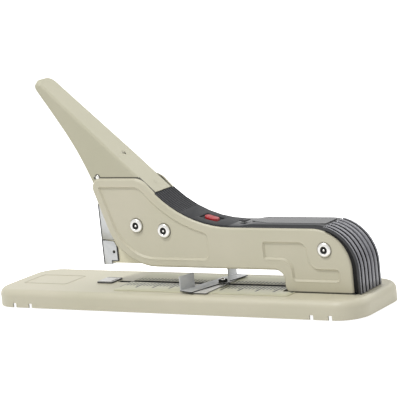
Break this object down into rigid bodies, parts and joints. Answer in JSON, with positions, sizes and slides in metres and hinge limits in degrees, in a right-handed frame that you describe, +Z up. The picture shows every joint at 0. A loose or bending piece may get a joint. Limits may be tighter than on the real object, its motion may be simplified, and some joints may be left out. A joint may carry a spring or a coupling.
{
  "type": "heavy_duty_stapler",
  "caption": "Long-reach heavy-duty desk stapler: steel base with ruler plate and paper guide, hinged arm, raised hand lever, drawer magazine and red release button.",
  "frame": {"origin": "centre of the base in plan, at table level", "axes": "+X to the rear (pillar end), -X to the nose and anvil, +Y to the left of a user who stands before the nose and looks along +X, +Z up"},
  "size_m": [0.43, 0.103, 0.231],
  "materials": {
    "cream_paint": "satin beige enamel",
    "ruler_paint": "pale greenish satin enamel",
    "black_plastic": "fine grained, dark grey",
    "red_plastic": "smooth",
    "white_nylon": "natural nylon",
    "foot_rubber": "matt",
    "bright_nickel": "bright nickel plate",
    "zinc_plate": "satin zinc plate",
    "dark_steel": "oiled plain steel",
    "black_steel": "black oxide"
  },
  "bodies": {
    "base": {"base_pan": "cream_paint", "front_foot": "foot_rubber", "rear_foot": "foot_rubber", "anvil_plate": "zinc_plate", "anvil_screws": "bright_nickel", "ruler_plate": "ruler_paint", "pivot_bracket": "zinc_plate", "arm_spring": "dark_steel"},
    "arm": {"right_shell": "cream_paint", "left_shell": "cream_paint", "top_cover": "black_plastic", "head_frame": "zinc_plate", "magazine_channel": "cream_paint", "lever_rivet": "bright_nickel", "head_rivet": "bright_nickel", "arm_rivet": "bright_nickel", "head_spacers": "dark_steel", "pivot_spacer": "dark_steel", "pivot_washers": "white_nylon", "lever_spring": "dark_steel", "latch_pin": "bright_nickel", "latch_spring": "dark_steel"},
    "lever": {"lever_channel": "cream_paint", "drive_arm": "dark_steel", "lever_rivet_pair": "cream_paint", "drive_pin": "bright_nickel", "lever_cross_pin": "bright_nickel"},
    "driver": {"driver_blade": "dark_steel", "driver_carrier": "dark_steel"},
    "drawer": {"drawer_front": "zinc_plate", "staple_rail": "zinc_plate", "rail_slide_block": "black_plastic", "pusher_rod": "zinc_plate", "pusher_spring": "dark_steel"},
    "pusher": {"pusher": "zinc_plate"},
    "button": {"release_button": "red_plastic"},
    "latch": {"drawer_latch": "dark_steel"},
    "guide_slider": {"guide_nut": "zinc_plate", "guide_strip": "zinc_plate"},
    "guide": {"guide_plate": "zinc_plate"},
    "guide_clamp": {"guide_screw": "black_steel"}
  },
  "joints": [
    {"name": "arm_close", "type": "hinge", "parent": "base", "child": "arm", "pos_m": [0.1685, 0, 0.0611], "axis": [0, -1, 0], "range_deg": [0, 3.91], "stiffness_Nm_per_rad": 40, "springref_deg": -9.17, "deforming": ["arm_spring"]},
    {"name": "lever_press", "type": "hinge", "parent": "arm", "child": "lever", "pos_m": [-0.044, 0, 0.082], "axis": [0, -1, 0], "range_deg": [0, 33], "stiffness_Nm_per_rad": 1.2, "springref_deg": -28.65, "deforming": ["lever_spring"]},
    {"name": "driver_stroke", "type": "slide", "parent": "arm", "child": "driver", "axis": [0, 0, -1], "range_m": [0, 0.025]},
    {"name": "drawer_slide", "type": "slide", "parent": "arm", "child": "drawer", "axis": [1, 0, 0], "range_m": [-0.1, 0]},
    {"name": "pusher_slide", "type": "slide", "parent": "drawer", "child": "pusher", "axis": [1, 0, 0], "range_m": [0, 0.066], "stiffness_N_per_m": 40, "springref_m": -0.05, "deforming": ["pusher_spring"]},
    {"name": "button_press", "type": "slide", "parent": "arm", "child": "button", "axis": [0, 0, -1], "range_m": [0, 0.0025], "stiffness_N_per_m": 500, "springref_m": -0.002, "deforming": ["latch_spring"]},
    {"name": "latch_tilt", "type": "hinge", "parent": "arm", "child": "latch", "pos_m": [0.0214, 0, 0.0723], "axis": [0, 1, 0], "range_deg": [0, 9.31]},
    {"name": "guide_slide", "type": "slide", "parent": "base", "child": "guide_slider", "axis": [1, 0, 0], "range_m": [-0.083, 0.065]},
    {"name": "guide_turn", "type": "hinge", "parent": "guide_slider", "child": "guide", "pos_m": [0.0395, 0, 0.021], "axis": [0, 0, 1], "range_deg": [0, 15]},
    {"name": "clamp_turn", "type": "hinge", "parent": "guide_slider", "child": "guide_clamp", "pos_m": [0.0395, 0, 0.021], "axis": [0, 0, 1], "continuous": true}
  ],
  "couplings": [
    {"joint": "driver_stroke", "follows": "lever_press", "m_per_rad": 0.043392},
    {"joint": "latch_tilt", "follows": "button_press", "rad_per_m": 64.926}
  ]
}
